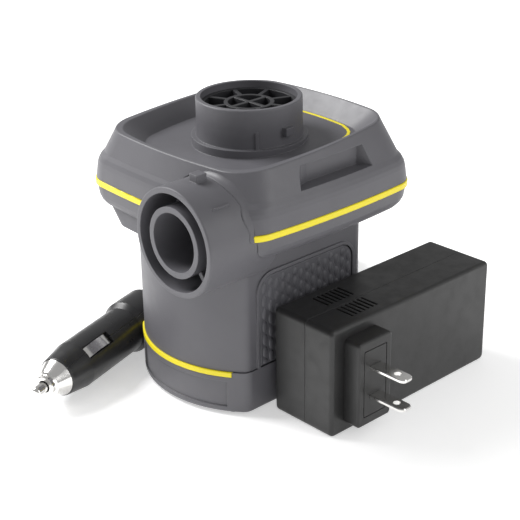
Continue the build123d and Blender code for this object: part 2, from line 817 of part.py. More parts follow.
# ================================================================ motor stator
with BuildPart() as motor_can:
    add(rod(motor_radius, z_motor, z_volute, [(0, 0)]))
    fillet(motor_can.edges().group_by(Axis.Z)[-1], 1.5)
    add(rod(motor_boss_radius, z_volute - 1, z_volute + motor_boss_height, [(0, 0)]))
    add(
        rod(motor_radius - motor_can_wall, z_motor - 1, z_volute - motor_can_wall, [(0, 0)]),
        mode=Mode.SUBTRACT,
    )
    add(
        rod(bushing_radius, z_volute - 3, z_volute + motor_boss_height - 0.8, [(0, 0)]),
        mode=Mode.SUBTRACT,
    )
    add(rod(shaft_radius + 0.5, z_volute, z_volute + 4, [(0, 0)]), mode=Mode.SUBTRACT)
    add(rod(screw_radius + thread_gap, z_volute - 3, z_volute + 1, motor_screws_at), mode=Mode.SUBTRACT)
write(motor_can, "motor_can")

bell_hole = motor_radius - 4.5
with BuildPart() as motor_end_bell:
    add(rod(motor_radius, z_bell, z_motor, [(0, 0)]))
    fillet(motor_end_bell.edges().group_by(Axis.Z)[0], 1.0)
    add(rod(motor_radius - motor_can_wall - seam, z_motor, z_motor + 2, [(0, 0)]))
    add(rod(bell_hole, z_motor - 1.5, z_motor + 3, [(0, 0)]), mode=Mode.SUBTRACT)
    add(rod(bushing_radius, z_motor - bushing_length + 0.5, z_motor + 2, [(0, 0)]), mode=Mode.SUBTRACT)
    add(rod(shaft_radius + 0.6, z_bell + 0.4, z_motor, [(0, 0)]), mode=Mode.SUBTRACT)
write(motor_end_bell, "motor_end_bell")

bushings = (
    ("bushing_upper", z_volute + motor_boss_height - 0.8 - bushing_length),
    ("bushing_lower", z_motor - bushing_length + 0.5),
)
for name, height in bushings:
    with BuildPart() as bushing:
        with BuildSketch(Plane.XY.offset(height)):
            Circle(bushing_radius)
            Circle(shaft_radius + shaft_gap, mode=Mode.SUBTRACT)
        extrude(amount=bushing_length)
    write(bushing, name)

magnet_outer = motor_radius - motor_can_wall
magnet_inner = magnet_outer - magnet_thick
with BuildPart() as magnets:
    with BuildSketch(Plane.XY.offset(z_armature - 2)):
        Circle(magnet_outer)
        Circle(magnet_inner, mode=Mode.SUBTRACT)
        gap_width = 2 * magnet_outer * math.cos(math.radians(magnet_arc / 2))
        Rectangle(gap_width, 3 * motor_radius, mode=Mode.SUBTRACT)
    extrude(amount=armature_length + 4)
write(magnets, "magnets")

brush_length = bell_hole - 2.2 - commutator_radius
with BuildPart() as brushes:
    with BuildSketch(Plane.XY.offset(z_commutator + (commutator_length - brush_side) / 2)):
        for sx in (-1, 1):
            with Locations((sx * (commutator_radius + 0.1 + brush_length / 2), 0)):
                Rectangle(brush_length, brush_side)
    extrude(amount=brush_side)
write(brushes, "brushes")

brush_outer = commutator_radius + 0.1 + brush_length
with BuildPart() as brush_arms:
    for sx in (-1, 1):
        with BuildSketch(Plane.XY.offset(z_motor - 1.5)):
            with Locations((sx * (brush_outer + 0.35), 0)):
                Rectangle(0.7, brush_side)
        extrude(amount=z_commutator + commutator_length - z_motor)
write(brush_arms, "brush_arms")

# ================================================================ switch
switch_inner = body_back - switch_depth
rocker_pin_reach = switch_width / 2 - 1.0
with BuildPart() as switch_housing:
    with BuildSketch(Plane.XZ.offset(-body_back)):
        with Locations((0, switch_z)):
            RectangleRounded(
                switch_width + 2 * switch_flange, switch_height + 2 * switch_flange, 1.5
            )
    extrude(amount=-switch_flange_thick)
    fillet(switch_housing.faces().sort_by(Axis.Y)[-1].edges(), 0.4)
    with BuildSketch(Plane.XZ.offset(-body_back)):
        with Locations((0, switch_z)):
            Rectangle(switch_width - 2 * seam, switch_height - 2 * seam)
    extrude(amount=switch_depth)
    with BuildSketch(Plane.XZ.offset(-body_back - 3)):
        with Locations((0, switch_z)):
            Rectangle(switch_width - 3.0, switch_height - 3.0)
    extrude(amount=3 + switch_depth - 3.0, mode=Mode.SUBTRACT)
    with BuildSketch(Plane.XZ.offset(-switch_inner)):
        with Locations((0, switch_z - 6), (0, switch_z), (0, switch_z + 6)):
            Rectangle(4.8, 0.8)
    extrude(amount=terminal_length)
    with BuildSketch(Plane.YZ.offset(-rocker_pin_reach - 0.1)):
        with Locations((body_back - rocker_pin_back, switch_z)):
            Circle(rocker_pin_radius + thread_gap)
    extrude(amount=2 * rocker_pin_reach + 0.2, mode=Mode.SUBTRACT)
write(switch_housing, "switch_housing")

rocker_length = switch_height - 4.2
rocker_width = switch_width - 4.0
with BuildPart() as switch_rocker:
    with BuildSketch(Plane.YZ.offset(-rocker_width / 2)):
        with BuildLine():
            Polyline(
                (body_back + 3.4, switch_z + rocker_length / 2 - 0.9),
                (body_back + 1.0, switch_z),
                (body_back + 0.6, switch_z - rocker_length / 2 + 0.9),
                (body_back - 3.2, switch_z - rocker_length / 2 + 1.6),
                (body_back - 5.0, switch_z),
                (body_back - 3.2, switch_z + rocker_length / 2 - 0.9),
                close=True,
            )
        make_face()
    extrude(amount=rocker_width)
    fillet(switch_rocker.edges().filter_by(Axis.X), 0.5)
    with BuildSketch(Plane.YZ.offset(-rocker_pin_reach)):
        with Locations((body_back - rocker_pin_back, switch_z)):
            Circle(rocker_pin_radius)
    extrude(amount=2 * rocker_pin_reach)
write(switch_rocker, "switch_rocker")

# ================================================================ leads inside
lead_radius = 0.9


def lead(name, points, radii, start_plane):
    """A wire inside the casing, along straight runs joined by arcs."""
    with BuildPart() as wire:
        with BuildLine():
            FilletPolyline(*points, radius=radii)
        with BuildSketch(start_plane):
            Circle(lead_radius)
        sweep()
    write(wire, name)


terminal_y = switch_inner - terminal_length + 1.4
lead(
    "lead_switched",
    [
        (2.4, terminal_y, switch_z + 6),
        (12.0, terminal_y, switch_z + 6),
        (16.0, terminal_y + 1.0, switch_z - 14),
        (14.0, 17.5, z_bell - 2.5),
        (9.0, 9.0, z_bell - 2.5),
    ],
    [3.0, 6.0, 3.0],
    Plane(origin=(2.4, terminal_y, switch_z + 6), z_dir=(1, 0, 0)),
)
lead(
    "lead_supply",
    [
        (gland_x, body_back - 8.0, gland_z),
        (gland_x, body_back - 14.0, gland_z),
        (-13.0, terminal_y + 1.5, switch_z - 18),
        (-11.0, terminal_y, switch_z - 6),
        (-2.4, terminal_y, switch_z - 6),
    ],
    [2.5, 5.0, 2.5],
    Plane(origin=(gland_x, body_back - 8.0, gland_z), z_dir=(0, -1, 0)),
)

# ================================================================ cord gland
cord_radius = cord_diameter / 2
gland_start = body_back + base_proud
gland_end = gland_start + gland_tail
with BuildPart() as cord_gland:
    with BuildSketch(Plane.YZ.offset(gland_x)):
        with BuildLine():
            Polyline(
                (gland_start - 8.0, gland_z),
                (gland_start - 8.0, gland_z + gland_neck_radius + 1.0),
                (gland_start - base_wall - seam, gland_z + gland_neck_radius + 1.0),
                (gland_start - base_wall - seam, gland_z + gland_neck_radius - 0.05),
                (gland_start + 0.1, gland_z + gland_neck_radius - 0.05),
                (gland_start + 0.1, gland_z + gland_flange_radius),
                (gland_start + 2.4, gland_z + gland_flange_radius),
                (gland_start + 3.4, gland_z + gland_neck_radius),
                (gland_end, gland_z + gland_tail_radius),
                (gland_end, gland_z),
                close=True,
            )
        make_face()
    revolve(axis=Axis((gland_x, 0, gland_z), (0, 1, 0)))
write(cord_gland, "cord_gland")

# ================================================================ cord
coil_width = coil_across * cord_diameter
coil_height = coil_layers * cord_diameter
coil_out = coil_mid + coil_width / 2
with BuildPart() as cord_coil:
    with BuildSketch(Plane.XY):
        with Locations((coil_x, coil_y)):
            Circle(coil_out)
            Circle(coil_mid - coil_width / 2, mode=Mode.SUBTRACT)
    extrude(amount=coil_height)
    fillet(cord_coil.edges(), cord_radius - 0.1)
write(cord_coil, "cord_coil")

with BuildPart() as coil_tie:
    with BuildSketch(Plane.YZ.offset(coil_x - tie_width / 2)):
        with Locations((coil_y + coil_mid, coil_height / 2)):
            RectangleRounded(
                coil_width + 2 * (tie_thick + tie_slack), coil_height + 2 * tie_thick, 3.0
            )
            RectangleRounded(coil_width + 2 * tie_slack, coil_height, 2.2, mode=Mode.SUBTRACT)
    extrude(amount=tie_width)
    with BuildSketch(Plane.XY.offset(-5)):
        with Locations((coil_x, coil_y + coil_mid)):
            Rectangle(40, 40)
    extrude(amount=5.0, mode=Mode.SUBTRACT)
write(coil_tie, "coil_tie")

heading = math.radians(plug_heading)
ahead = Vector(math.cos(heading), math.sin(heading), 0)
plug_tip = Vector(plug_tip_x, plug_tip_y, plug_axis_z)
plug_plane = Plane(origin=plug_tip, x_dir=(0, 0, 1), z_dir=ahead)
body_from = pin_reach + nose_length
barrel_from = body_from + plug_cone_length
grip_from = barrel_from + plug_body_length
relief_from = grip_from + plug_grip_length
relief_to = relief_from + plug_relief_length
cord_end = plug_tip + ahead * relief_to


def arc_radii(points):
    """Arc radii as large as the runs allow: 0.45 of the shorter run over tan of half the turn."""
    radii = []
    for before, here, after in zip(points, points[1:], points[2:]):
        run_in = Vector(*here) - Vector(*before)
        run_out = Vector(*after) - Vector(*here)
        turn = math.radians(run_in.get_angle(run_out))
        radii.append(0.45 * min(run_in.length, run_out.length) / math.tan(turn / 2))
    return radii


def cord(name, points):
    """A cord's tube along its route, with a check of its volume."""
    radii = arc_radii(points)
    print(name, "arc radii", [round(r, 1) for r in radii])
    first = Vector(*points[1]) - Vector(*points[0])
    with BuildPart() as tube:
        with BuildLine() as route:
            FilletPolyline(*points, radius=radii)
        with BuildSketch(Plane(origin=points[0], z_dir=first)):
            Circle(cord_radius)
        sweep()
    length = sum(edge.length for edge in route.edges())
    expected = math.pi * cord_radius**2 * length
    print(name, "length", round(length, 1), "volume over section x length",
          round(tube.part.volume / expected, 4))
    write(tube, name)


cord(
    "cord_to_coil",
    [
        (gland_x, gland_end, gland_z),
        (gland_x, gland_end + 13.0, gland_z),
        (gland_x - 6.4, gland_end + 24.2, gland_z - 3.5),
        (coil_x + 30.1, coil_y + 12.6, cord_radius + 0.3),
        (coil_x + 18.7, coil_y + 20.8, cord_radius + 0.1),
    ],
)
cord(
    "cord_to_plug",
    [
        (cord_end.X + ahead.X * 51.8, cord_end.Y + ahead.Y * 51.8, coil_height - cord_radius - 0.2),
        (cord_end.X + ahead.X * 22.0, cord_end.Y + ahead.Y * 22.0, plug_axis_z),
        tuple(cord_end),
    ],
)


# ================================================================ plug
def turned(profile):
    """A piece turned about the plug's axis from (distance behind the tip, radius) points."""
    side = Plane(origin=plug_tip, x_dir=ahead, z_dir=(ahead.Y, -ahead.X, 0))
    with BuildPart() as piece:
        with BuildSketch(side):
            with BuildLine():
                Polyline(*profile, close=True)
            make_face()
        revolve(axis=Axis(plug_tip, ahead))
    return piece


with BuildPart() as plug_centre_pin:
    with BuildSketch(plug_plane):
        Circle(pin_radius)
    extrude(amount=pin_length)
    fillet(plug_centre_pin.faces().sort_by(Axis(plug_tip, ahead))[0].edges(), 1.5)
    with BuildSketch(plug_plane.offset(pin_length)):
        Circle(pin_radius + 1.0)
    extrude(amount=pin_flange)
write(plug_centre_pin, "plug_centre_pin")

nose_bore = pin_radius + run_gap
plug_nose_ring = turned(
    [
        (pin_reach, nose_bore),
        (pin_reach, nose_tip_radius - 0.4),
        (pin_reach + 0.4, nose_tip_radius),
        (pin_reach + 2.2, nose_tip_radius),
        (pin_reach + 2.6, nose_tip_radius + 0.9),
        (body_from, nose_radius),
        (body_from, nose_radius - 2.0),
        (pin_reach + 3.0, nose_bore + 1.4),
        (pin_reach + 3.0, nose_bore),
    ],
)
write(plug_nose_ring, "plug_nose_ring")

shell_profile = [
    (body_from + seam, nose_radius - 1.6),
    (body_from + seam, nose_radius + 0.15),
    (body_from + seam + 0.4, nose_radius + 0.5),
    (barrel_from, plug_radius),
    (grip_from, plug_radius),
    (grip_from + 3.0, plug_grip_radius),
    (relief_from - 7.0, plug_grip_radius),
    (relief_from - 1.0, plug_relief_radius + 3.2),
    (relief_from, plug_relief_radius + 2.4),
    (relief_from, plug_relief_radius - 1.0),
    (relief_from - 3.0, plug_relief_radius - 1.0),
    (relief_from - 3.0, plug_relief_radius + 1.0),
    (relief_from - 7.0, plug_grip_radius - plug_wall),
    (grip_from + 3.0, plug_grip_radius - plug_wall),
    (grip_from, plug_radius - plug_wall),
    (barrel_from, plug_radius - plug_wall),
]
roll = math.radians(plug_roll)
toward = Vector(ahead.Y, -ahead.X, 0) * math.cos(roll) + Vector(0, 0, 1) * math.sin(roll)
split_normal = ahead.cross(toward)
split_plane = Plane(origin=plug_tip, x_dir=ahead, z_dir=split_normal)
contact_at = barrel_from + 0.5
shell = turned(shell_profile)
for name, side_sign in (("plug_shell_upper", 1), ("plug_shell_lower", -1)):
    with BuildPart() as half:
        add(shell.part)
        # the half on the other side of the split is taken away
        with BuildSketch(split_plane.offset(side_sign * seam / 3)):
            with Locations((relief_from / 2, 0)):
                Rectangle(2 * relief_from, 4 * plug_grip_radius)
        extrude(amount=-side_sign * 3 * plug_grip_radius, mode=Mode.SUBTRACT)
        # slots for the two side contacts
        with BuildSketch(split_plane):
            with Locations((contact_at + contact_length / 2, 0)):
                Rectangle(contact_length + 1.2, 4 * plug_radius)
        extrude(amount=contact_width / 2 + 0.4, both=True, mode=Mode.SUBTRACT)
    write(half, name)

with BuildPart() as plug_side_contacts:
    with BuildSketch(split_plane):
        for s in (-1, 1):
            with BuildLine():
                ThreePointArc(
                    (contact_at, s * (plug_radius - 1.6)),
                    (contact_at + contact_length * 0.55, s * (plug_radius + 1.0)),
                    (contact_at + contact_length, s * (plug_radius - 1.6)),
                )
            trace(line_width=0.6)
    extrude(amount=contact_width / 2, both=True)
write(plug_side_contacts, "plug_side_contacts")

spring_from = pin_length + pin_flange + pin_travel + 0.3
fuse_from = spring_from + 4.0
with BuildPart() as plug_fuse:
    with BuildSketch(plug_plane.offset(fuse_from)):
        Circle(3.1)
    extrude(amount=25.0)
    fillet(plug_fuse.edges(), 0.4)
write(plug_fuse, "plug_fuse")

with BuildPart() as plug_pin_spring:
    with BuildSketch(plug_plane.offset(spring_from)):
        Circle(2.9)
        Circle(2.0, mode=Mode.SUBTRACT)
    extrude(amount=fuse_from - spring_from)
write(plug_pin_spring, "plug_pin_spring")

plug_strain_relief = turned(
    [
        (relief_from - 5.5, 0),
        (relief_from - 5.5, plug_relief_radius + 0.3),
        (relief_from - 3.1, plug_relief_radius + 0.3),
        (relief_from - 3.1, plug_relief_radius - 1.1),
        (relief_from + 0.2, plug_relief_radius - 1.1),
        (relief_from + 0.2, plug_relief_radius),
        (relief_to, cord_radius + 0.9),
        (relief_to, 0),
    ],
)
write(plug_strain_relief, "plug_strain_relief")

# ================================================================ adapter
adapter_mid_z = adapter_height / 2
socket_x = (adapter_near + adapter_far) / 2


def adapter_half(x_low, x_high):
    """One half of the adapter's case: a tray that is open towards the split."""
    with BuildPart() as tray:
        with BuildSketch(Plane.YZ.offset(adapter_near)):
            with Locations(((adapter_front + adapter_back) / 2, adapter_mid_z)):
                RectangleRounded(
                    adapter_back - adapter_front, adapter_height, adapter_round
                )
        extrude(amount=adapter_far - adapter_near)
        fillet(tray.faces().sort_by(Axis.X)[0].edges(), 1.6)
        fillet(tray.faces().sort_by(Axis.X)[-1].edges(), 1.6)
        with BuildSketch(Plane.YZ.offset(adapter_near + adapter_wall)):
            with Locations(((adapter_front + adapter_back) / 2, adapter_mid_z)):
                Rectangle(
                    adapter_back - adapter_front - 2 * adapter_wall,
                    adapter_height - 2 * adapter_wall,
                )
        extrude(amount=adapter_far - adapter_near - 2 * adapter_wall, mode=Mode.SUBTRACT)
        # vents in the top and bottom
        for index in range(vent_count):
            slot_y = vent_start + index * vent_pitch
            for z in (0, adapter_height):
                for x in (adapter_near + 5, adapter_split + 0.8):
                    add(
                        block(
                            (x, slot_y - vent_width / 2, z - 3),
                            (x + vent_length, slot_y + vent_width / 2, z + 3),
                        ),
                        mode=Mode.SUBTRACT,
                    )
        # round opening for the 12 V socket in the back end
        with BuildSketch(Plane.XZ.offset(-adapter_back - 1)):
            with Locations((socket_x, adapter_mid_z)):
                Circle(socket_bore + socket_wall + seam)
        extrude(amount=5, mode=Mode.SUBTRACT)
        add(
            block((x_high, adapter_front - 1, -1), (adapter_far + 1, adapter_back + 1, 60))
            if x_high < adapter_far
            else block((adapter_near - 1, adapter_front - 1, -1), (x_low, adapter_back + 1, 60)),
            mode=Mode.SUBTRACT,
        )
    return tray


adapter_screws_at = [
    (y, z)
    for y in (adapter_front + 7.5, adapter_back - 42.0)
    for z in (7.5, adapter_height - 7.5)
]
near_case = adapter_half(adapter_near, adapter_split - seam / 2)
with BuildPart() as adapter_case_near:
    add(near_case.part)
    with BuildSketch(Plane.YZ.offset(adapter_near + 1)):
        with Locations(*adapter_screws_at):
            Circle(3.4)
    extrude(amount=adapter_split - seam / 2 - adapter_near - 1)
    with BuildSketch(Plane.YZ.offset(adapter_near - 1)):
        with Locations(*adapter_screws_at):
            Circle(screw_radius + 0.3)
    extrude(amount=40, mode=Mode.SUBTRACT)
    with BuildSketch(Plane.YZ.offset(adapter_near - 1)):
        with Locations(*adapter_screws_at):
            Circle(screw_head_radius + 0.2)
    extrude(amount=5.0, mode=Mode.SUBTRACT)
write(adapter_case_near, "adapter_case_near")

far_case = adapter_half(adapter_split + seam / 2, adapter_far)
blade_base_mid_y = (blade_base_front + blade_base_back) / 2
mains_at = [(blade_base_mid_y, mains_blade_z + s * mains_blade_pitch / 2) for s in (-1, 1)]
with BuildPart() as adapter_case_far:
    add(far_case.part)
    with BuildSketch(Plane.YZ.offset(adapter_split + seam / 2)):
        with Locations(*adapter_screws_at):
            Circle(3.4)
    extrude(amount=adapter_far - adapter_split - 1)
    with BuildSketch(Plane.YZ.offset(adapter_split)):
        with Locations(*adapter_screws_at):
            Circle(screw_radius + thread_gap)
    extrude(amount=10, mode=Mode.SUBTRACT)
    with BuildSketch(Plane.YZ.offset(adapter_far - 4)):
        with Locations(*mains_at):
            Rectangle(mains_blade_width + 2.0, mains_blade_thick + 2.0)
    extrude(amount=6, mode=Mode.SUBTRACT)
write(adapter_case_far, "adapter_case_far")

with BuildPart() as adapter_screws:
    with BuildSketch(Plane.YZ.offset(adapter_near + 2.0)):
        with Locations(*adapter_screws_at):
            Circle(screw_head_radius)
    extrude(amount=screw_head_height)
    with BuildSketch(Plane.YZ.offset(adapter_near + 2.0 + screw_head_height)):
        with Locations(*adapter_screws_at):
            Circle(screw_radius)
    extrude(amount=22.0)
    with BuildSketch(Plane.YZ.offset(adapter_near + 1.9)):
        with Locations(*adapter_screws_at):
            Rectangle(3.2, 0.7)
            Rectangle(0.7, 3.2)
    extrude(amount=1.2, mode=Mode.SUBTRACT)
write(adapter_screws, "adapter_screws")

with BuildPart() as adapter_blade_base:
    with BuildSketch(Plane.YZ.offset(adapter_far + 0.05)):
        with Locations((blade_base_mid_y, (blade_base_low + blade_base_high) / 2)):
            RectangleRounded(
                blade_base_back - blade_base_front, blade_base_high - blade_base_low, 1.6
            )
    extrude(amount=base_reach)
    fillet(adapter_blade_base.faces().sort_by(Axis.X)[-1].edges(), 1.0)
    with BuildSketch(Plane.YZ.offset(adapter_far + base_reach - 0.5)):
        with Locations((blade_base_mid_y, (blade_base_low + blade_base_high) / 2)):
            RectangleRounded(
                blade_base_back - blade_base_front - 6.0,
                blade_base_high - blade_base_low - 7.6,
                0.8,
            )
            RectangleRounded(
                blade_base_back - blade_base_front - 6.8,
                blade_base_high - blade_base_low - 8.4,
                0.6,
                mode=Mode.SUBTRACT,
            )
    extrude(amount=2, mode=Mode.SUBTRACT)
    with BuildSketch(Plane.YZ.offset(adapter_far - 1)):
        with Locations(*mains_at):
            Rectangle(mains_blade_width, mains_blade_thick)
    extrude(amount=20, mode=Mode.SUBTRACT)
write(adapter_blade_base, "adapter_blade_base")

blade_tip_x = adapter_far + base_reach + mains_blade_reach
with BuildPart() as adapter_blades:
    for y, z in mains_at:
        with BuildSketch(Plane.XY.offset(z - mains_blade_thick / 2)):
            with Locations(((adapter_far - 6 + blade_tip_x) / 2, y)):
                Rectangle(blade_tip_x - adapter_far + 6, mains_blade_width)
        extrude(amount=mains_blade_thick)
    tips = adapter_blades.edges().filter_by(Axis.Z).group_by(Axis.X)[-1]
    fillet(tips, 2.2)
    chamfer(adapter_blades.edges().group_by(Axis.X)[-1], 0.3)
    with BuildSketch(Plane.XY):
        with Locations((adapter_far + base_reach + 11.5, blade_base_mid_y)):
            Circle(1.5)
    extrude(amount=60, mode=Mode.SUBTRACT)
write(adapter_blades, "adapter_blades")

board_x = adapter_near + adapter_wall + 3.5
with BuildPart() as adapter_board:
    with BuildSketch(Plane.YZ.offset(board_x)):
        with Locations((adapter_front + 27.5, adapter_mid_z)):
            Rectangle(24.0, adapter_height - 2 * adapter_wall - 2.0)
    extrude(amount=1.6)
write(adapter_board, "adapter_board")

with BuildPart() as adapter_transformer:
    with BuildSketch(Plane.YZ.offset(board_x + 1.6)):
        with Locations((adapter_front + 28.0, adapter_mid_z)):
            Rectangle(20.0, 26.0)
    extrude(amount=16.0)
    with BuildSketch(Plane.YZ.offset(board_x + 5.6)):
        with Locations((adapter_front + 28.0, adapter_mid_z)):
            Rectangle(20.4, 15.0)
    extrude(amount=8.0)
write(adapter_transformer, "adapter_transformer")

with BuildPart() as adapter_socket:
    with BuildSketch(Plane.XZ.offset(-adapter_back - 0.6)):
        with Locations((socket_x, adapter_mid_z)):
            Circle(socket_bore + socket_wall)
    extrude(amount=socket_depth + 0.6 + 1.6)
    with BuildSketch(Plane.XZ.offset(-adapter_back - 0.6)):
        with Locations((socket_x, adapter_mid_z)):
            Circle(socket_bore)
    extrude(amount=socket_throat + 0.6, mode=Mode.SUBTRACT)
    with BuildSketch(Plane.XZ.offset(-adapter_back - 0.6)):
        with Locations((socket_x, adapter_mid_z)):
            Circle(socket_throat_radius)
    extrude(amount=socket_depth + 0.6, mode=Mode.SUBTRACT)
    with BuildSketch(Plane.XZ.offset(-adapter_back + socket_depth)):
        with Locations((socket_x, adapter_mid_z)):
            Circle(3.0)
    extrude(amount=4, mode=Mode.SUBTRACT)
write(adapter_socket, "adapter_socket")

with BuildPart() as adapter_socket_contact:
    with BuildSketch(Plane.XZ.offset(-adapter_back + socket_depth - 3)):
        with Locations((socket_x, adapter_mid_z)):
            Circle(3.0)
    extrude(amount=6)
    fillet(adapter_socket_contact.faces().sort_by(Axis.Y)[-1].edges(), 0.8)
write(adapter_socket_contact, "adapter_socket_contact")
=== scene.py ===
import json
import math

import bmesh
import bpy
from mathutils import Matrix, Vector
from mathutils.bvhtree import BVHTree


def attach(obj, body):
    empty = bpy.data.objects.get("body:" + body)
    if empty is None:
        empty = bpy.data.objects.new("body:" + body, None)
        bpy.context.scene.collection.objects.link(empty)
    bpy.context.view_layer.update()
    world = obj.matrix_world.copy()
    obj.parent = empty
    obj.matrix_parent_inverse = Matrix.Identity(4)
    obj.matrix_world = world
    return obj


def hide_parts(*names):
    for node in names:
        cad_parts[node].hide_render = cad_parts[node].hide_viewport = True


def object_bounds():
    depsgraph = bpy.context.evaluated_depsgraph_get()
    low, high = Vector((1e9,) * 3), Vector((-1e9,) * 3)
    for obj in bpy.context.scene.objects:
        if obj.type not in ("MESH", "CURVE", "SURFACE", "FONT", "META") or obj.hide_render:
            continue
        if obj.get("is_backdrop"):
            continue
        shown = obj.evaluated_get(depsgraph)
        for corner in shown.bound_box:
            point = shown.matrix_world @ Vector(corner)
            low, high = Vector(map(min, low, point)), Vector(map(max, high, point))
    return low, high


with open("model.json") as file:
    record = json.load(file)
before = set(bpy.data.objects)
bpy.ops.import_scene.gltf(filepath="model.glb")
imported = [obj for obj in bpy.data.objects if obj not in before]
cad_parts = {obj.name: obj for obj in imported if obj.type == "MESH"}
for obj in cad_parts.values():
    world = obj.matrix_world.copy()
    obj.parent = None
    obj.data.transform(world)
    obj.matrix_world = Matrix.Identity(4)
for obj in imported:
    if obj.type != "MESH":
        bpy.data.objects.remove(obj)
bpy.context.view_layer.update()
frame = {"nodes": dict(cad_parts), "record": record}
nodes = frame["nodes"]

# ---------------------------------------------------------------- camera
AZIMUTH = math.radians(47.39)
ELEVATION = math.radians(24.15)
ROLL = math.radians(-0.96)
DISTANCE = 0.556
target = Vector((0.0022, 0.0025, 0.0481))
back = Vector(
    (
        math.sin(AZIMUTH) * math.cos(ELEVATION),
        -math.cos(AZIMUTH) * math.cos(ELEVATION),
        math.sin(ELEVATION),
    )
)
camera = bpy.data.objects.new("camera", bpy.data.cameras.new("camera"))
bpy.context.scene.collection.objects.link(camera)
camera.data.lens = 90.85
camera.data.sensor_width = 36.0
camera.data.clip_start = 0.01
look = (-back).to_track_quat("-Z", "Y").to_matrix() @ Matrix.Rotation(ROLL, 3, "Z")
camera.matrix_world = Matrix.Translation(target + back * DISTANCE) @ look.to_4x4()
bpy.context.scene.camera = camera
bpy.context.scene.view_settings.view_transform = "Standard"

# ---------------------------------------------------------------- the cord
CORD = 0.0046
COIL = Vector((-0.0500, 0.0690, 0.0))
RING = [0.0229, 0.0275, 0.0319]
LAYER = [0.0024, 0.0070, 0.0116, 0.0162]
# each step of the winding: the angle where it starts, and the ring and layer it moves to
STEPS = [
    (368, 0, 0), (702, 0, 1), (1036, 1, 1), (1396, 2, 1), (1730, 2, 2),
    (2064, 1, 2), (2424, 0, 2), (2758, 0, 3), (3092, 1, 3),
]
to_coil = [
    (0, 0.0501, 0.0105), (0, 0.0631, 0.0105), (-0.0064, 0.0743, 0.0070),
    (-0.0199, 0.0816, 0.0026), (-0.0313, 0.0898, 0.0024),
]
to_plug = [(-0.07618, 0.06050, 0.0159), (-0.06697, 0.03215, 0.0121), (-0.06017, 0.01123, 0.0121)]


def wound(angle):
    """A point of the winding, which steps from one ring and layer to the next."""
    ring, layer = RING[1], LAYER[0]
    for start, to_ring, to_layer in STEPS:
        share = min(1, max(0, (angle - start) / 26))
        share = share * share * (3 - 2 * share)
        ring += (RING[to_ring] - ring) * share
        layer += (LAYER[to_layer] - layer) * share
    turn = math.radians(angle)
    ring += 0.0001 * math.cos(2 * turn + 0.7)
    return COIL + Vector((ring * math.cos(turn), ring * math.sin(turn), layer))


route = [Vector(p) for p in to_coil]
route += [wound(angle) for angle in range(62, 3430, 15)]
route += [Vector(p) for p in to_plug]
cord_curve = bpy.data.curves.new("cord", "CURVE")
cord_curve.dimensions = "3D"
cord_curve.bevel_depth = 1.0  # times each point's radius
cord_curve.bevel_resolution = 5
cord_curve.resolution_u = 6
cord_curve.use_fill_caps = True
spline = cord_curve.splines.new("NURBS")
spline.points.add(len(route) - 1)
for point, place in zip(spline.points, route):
    point.co = (*place, 1)
    point.radius = CORD / 2
spline.order_u = 3
spline.use_endpoint_u = True
cord = bpy.data.objects.new("cord", cord_curve)
bpy.context.scene.collection.objects.link(cord)
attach(cord, "pump")
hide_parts("cord_to_coil", "cord_coil", "cord_to_plug")

# ---------------------------------------------------------------- added detail
def piece(name, mesh_parts, body="pump", smooth=True):
    """A closed mesh that rides with a CAD body."""
    mesh = bpy.data.meshes.new(name)
    bmesh.ops.recalc_face_normals(mesh_parts, faces=mesh_parts.faces)
    mesh_parts.to_mesh(mesh)
    mesh_parts.free()
    if smooth:
        mesh.shade_smooth()
    made = bpy.data.objects.new(name, mesh)
    bpy.context.scene.collection.objects.link(made)
    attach(made, body)
    return made


def swept(sections):
    """A closed bmesh through rings of points, capped at both ends."""
    mesh_parts = bmesh.new()
    rings = [[mesh_parts.verts.new(point) for point in section] for section in sections]
    for ring, following in zip(rings, rings[1:]):
        count = len(ring)
        for i in range(count):
            j = (i + 1) % count
            mesh_parts.faces.new((ring[i], ring[j], following[j], following[i]))
    mesh_parts.faces.new(rings[0])
    mesh_parts.faces.new(rings[-1])
    return mesh_parts


# the woven relief on the grip pads: upright pillows, every other column half a step higher
PAD_FACE = 0.0335
PAD_FRONT, PAD_BACK, PAD_LOW, PAD_HIGH, PAD_CORNER = -0.0262, 0.0252, 0.0204, 0.0588, 0.0066
COLUMN, ROW = 0.0034, 0.0056
for name, side in (("grip_relief_right", 1), ("grip_relief_left", -1)):
    pillows = bmesh.new()
    columns = int((PAD_BACK - PAD_FRONT - 0.002) / COLUMN)
    for c in range(columns + 1):
        y = PAD_FRONT + 0.0019 + c * COLUMN
        if y > PAD_BACK - 0.0014:
            continue
        inner = PAD_CORNER - min(PAD_CORNER, y - PAD_FRONT, PAD_BACK - y)
        top = PAD_HIGH - PAD_CORNER + math.sqrt(PAD_CORNER**2 - inner**2) - 0.0004
        z = PAD_LOW + 0.0004 + (0 if c % 2 else -ROW / 2)
        while z < top - 0.0012:
            low, high = max(z, PAD_LOW + 0.0003), min(z + ROW - 0.0005, top)
            z += ROW
            if high - low < 0.0012:
                continue
            place = Matrix.Translation((side * (PAD_FACE - 0.00012), y, (low + high) / 2))
            shape = Matrix.Diagonal((0.00062, COLUMN * 0.43, (high - low) / 2, 1))
            bmesh.ops.create_uvsphere(
                pillows, u_segments=12, v_segments=8, radius=1, matrix=place @ shape
            )
    piece(name, pillows)

